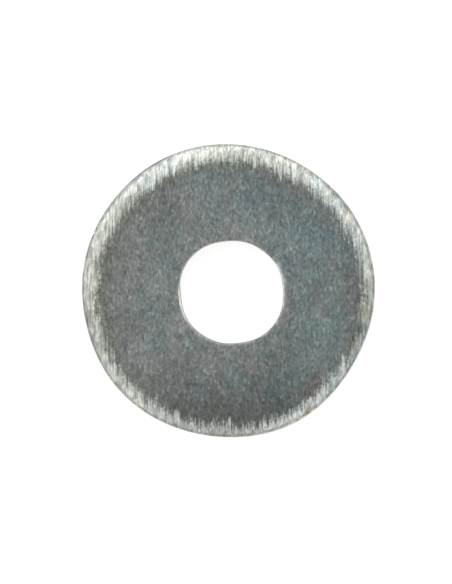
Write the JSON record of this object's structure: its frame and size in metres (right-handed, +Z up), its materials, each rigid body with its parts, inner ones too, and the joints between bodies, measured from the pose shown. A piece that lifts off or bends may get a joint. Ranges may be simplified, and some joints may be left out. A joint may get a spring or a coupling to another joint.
{
  "type": "flat washer",
  "caption": "Large-diameter flat washer of zinc-plated sheet steel, with a soft rolled outer edge, that spreads a bolt's clamping load over a wide ring.",
  "frame": {"origin": "middle of the round outline, on the flat underside", "axes": "+Z up through the thickness, out of the face with the rolled outer edge; +Y along the sheet's rolling direction"},
  "size_m": [0.018, 0.018, 0.0016],
  "materials": {
    "zinc_plate": "dull rolled zinc plate, burnished bright on the rolled outer edge"
  },
  "bodies": {
    "root": {"washer": "zinc_plate"}
  },
  "joints": []
}
